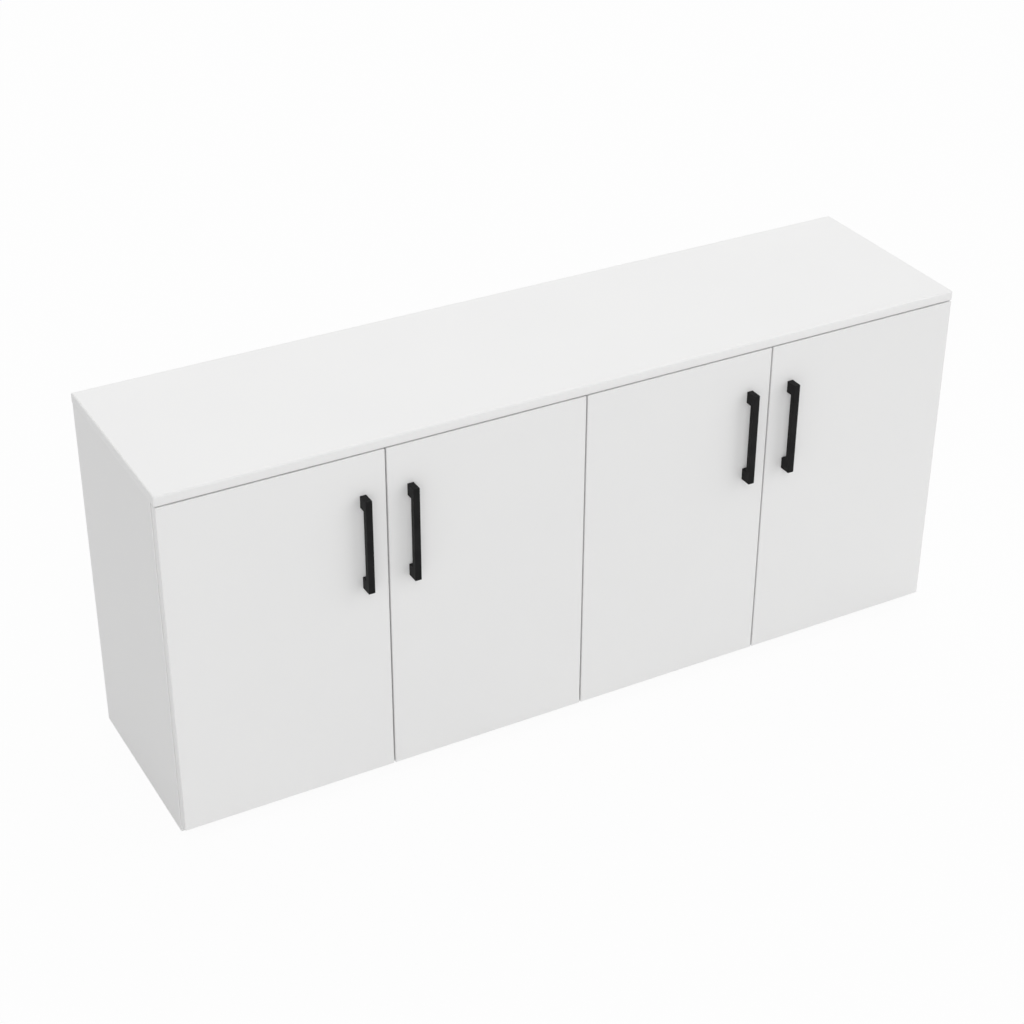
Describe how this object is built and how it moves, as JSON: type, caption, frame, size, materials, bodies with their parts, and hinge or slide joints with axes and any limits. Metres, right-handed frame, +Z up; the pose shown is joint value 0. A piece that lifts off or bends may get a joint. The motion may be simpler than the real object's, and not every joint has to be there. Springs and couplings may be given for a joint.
{
  "type": "office credenza",
  "caption": "Long low white office credenza with a flat top, overlay doors on concealed cup hinges, slim black bar pulls, a loose shelf in each bay and low floor skids.",
  "frame": {"origin": "on the floor, under the middle of the whole box, pulls included", "axes": "+X along the length to the right when facing the doors, +Y from the doors to the back, +Z up"},
  "size_m": [1.6, 0.424, 0.7],
  "materials": {
    "white_board": "satin white melamine on board",
    "black_pull": "matt black powder coat",
    "hinge_steel": "nickel plated pressed steel",
    "pin_steel": "nickel plated",
    "floor_plastic": "moulded, matt"
  },
  "bodies": {
    "carcass": {"top_panel": "white_board", "left_side": "white_board", "right_side": "white_board", "centre_partition": "white_board", "bottom_panel": "white_board", "back_panel": "white_board", "left_skid": "floor_plastic", "right_skid": "floor_plastic", "centre_foot": "floor_plastic", "left_shelf": "white_board", "right_shelf": "white_board", "left_shelf_pin_1": "pin_steel", "left_shelf_pin_2": "pin_steel", "left_shelf_pin_3": "pin_steel", "left_shelf_pin_4": "pin_steel", "right_shelf_pin_1": "pin_steel", "right_shelf_pin_2": "pin_steel", "right_shelf_pin_3": "pin_steel", "right_shelf_pin_4": "pin_steel", "hinge_1_lower_arm": "hinge_steel", "hinge_1_upper_arm": "hinge_steel", "hinge_2_lower_arm": "hinge_steel", "hinge_2_upper_arm": "hinge_steel", "hinge_3_lower_arm": "hinge_steel", "hinge_3_upper_arm": "hinge_steel", "hinge_4_lower_arm": "hinge_steel", "hinge_4_upper_arm": "hinge_steel"},
    "outer_links_1": {"hinge_1_lower_outer_link": "hinge_steel", "hinge_1_upper_outer_link": "hinge_steel"},
    "inner_links_1": {"hinge_1_lower_inner_link": "hinge_steel", "hinge_1_upper_inner_link": "hinge_steel"},
    "door_1": {"door_1": "white_board", "handle_1": "black_pull", "hinge_1_lower_cup": "hinge_steel", "hinge_1_upper_cup": "hinge_steel"},
    "outer_links_2": {"hinge_2_lower_outer_link": "hinge_steel", "hinge_2_upper_outer_link": "hinge_steel"},
    "inner_links_2": {"hinge_2_lower_inner_link": "hinge_steel", "hinge_2_upper_inner_link": "hinge_steel"},
    "door_2": {"door_2": "white_board", "handle_2": "black_pull", "hinge_2_lower_cup": "hinge_steel", "hinge_2_upper_cup": "hinge_steel"},
    "outer_links_3": {"hinge_3_lower_outer_link": "hinge_steel", "hinge_3_upper_outer_link": "hinge_steel"},
    "inner_links_3": {"hinge_3_lower_inner_link": "hinge_steel", "hinge_3_upper_inner_link": "hinge_steel"},
    "door_3": {"door_3": "white_board", "handle_3": "black_pull", "hinge_3_lower_cup": "hinge_steel", "hinge_3_upper_cup": "hinge_steel"},
    "outer_links_4": {"hinge_4_lower_outer_link": "hinge_steel", "hinge_4_upper_outer_link": "hinge_steel"},
    "inner_links_4": {"hinge_4_lower_inner_link": "hinge_steel", "hinge_4_upper_inner_link": "hinge_steel"},
    "door_4": {"door_4": "white_board", "handle_4": "black_pull", "hinge_4_lower_cup": "hinge_steel", "hinge_4_upper_cup": "hinge_steel"}
  },
  "joints": [
    {"name": "outer_links_1_turn", "type": "hinge", "parent": "carcass", "child": "outer_links_1", "pos_m": [-0.7705, -0.1465, 0.3485], "axis": [0, 0, -1], "range_deg": [-26, 0]},
    {"name": "door_1_swing", "type": "hinge", "parent": "outer_links_1", "child": "door_1", "pos_m": [-0.7897, -0.175, 0.3485], "axis": [0, 0, -1], "range_deg": [0, 120.65]},
    {"name": "inner_links_1_turn", "type": "hinge", "parent": "carcass", "child": "inner_links_1", "pos_m": [-0.7545, -0.165, 0.3485], "axis": [0, 0, -1], "range_deg": [-28.5, 0]},
    {"name": "outer_links_2_turn", "type": "hinge", "parent": "carcass", "child": "outer_links_2", "pos_m": [-0.0295, -0.1465, 0.3485], "axis": [0, 0, 1], "range_deg": [-23.3, 0]},
    {"name": "door_2_swing", "type": "hinge", "parent": "outer_links_2", "child": "door_2", "pos_m": [-0.0103, -0.175, 0.3485], "axis": [0, 0, 1], "range_deg": [0, 107.95]},
    {"name": "inner_links_2_turn", "type": "hinge", "parent": "carcass", "child": "inner_links_2", "pos_m": [-0.0455, -0.165, 0.3485], "axis": [0, 0, 1], "range_deg": [-25.5, 0]},
    {"name": "outer_links_3_turn", "type": "hinge", "parent": "carcass", "child": "outer_links_3", "pos_m": [0.0295, -0.1465, 0.3485], "axis": [0, 0, -1], "range_deg": [-23.3, 0]},
    {"name": "door_3_swing", "type": "hinge", "parent": "outer_links_3", "child": "door_3", "pos_m": [0.0103, -0.175, 0.3485], "axis": [0, 0, -1], "range_deg": [0, 107.95]},
    {"name": "inner_links_3_turn", "type": "hinge", "parent": "carcass", "child": "inner_links_3", "pos_m": [0.0455, -0.165, 0.3485], "axis": [0, 0, -1], "range_deg": [-25.5, 0]},
    {"name": "outer_links_4_turn", "type": "hinge", "parent": "carcass", "child": "outer_links_4", "pos_m": [0.7705, -0.1465, 0.3485], "axis": [0, 0, 1], "range_deg": [-26, 0]},
    {"name": "door_4_swing", "type": "hinge", "parent": "outer_links_4", "child": "door_4", "pos_m": [0.7897, -0.175, 0.3485], "axis": [0, 0, 1], "range_deg": [0, 120.65]},
    {"name": "inner_links_4_turn", "type": "hinge", "parent": "carcass", "child": "inner_links_4", "pos_m": [0.7545, -0.165, 0.3485], "axis": [0, 0, 1], "range_deg": [-28.5, 0]}
  ],
  "couplings": [
    {"joint": "outer_links_1_turn", "follows": "door_1_swing", "ratio": -0.2126},
    {"joint": "inner_links_1_turn", "follows": "door_1_swing", "ratio": -0.23386},
    {"joint": "outer_links_2_turn", "follows": "door_2_swing", "ratio": -0.2126},
    {"joint": "inner_links_2_turn", "follows": "door_2_swing", "ratio": -0.23386},
    {"joint": "outer_links_3_turn", "follows": "door_3_swing", "ratio": -0.2126},
    {"joint": "inner_links_3_turn", "follows": "door_3_swing", "ratio": -0.23386},
    {"joint": "outer_links_4_turn", "follows": "door_4_swing", "ratio": -0.2126},
    {"joint": "inner_links_4_turn", "follows": "door_4_swing", "ratio": -0.23386}
  ]
}
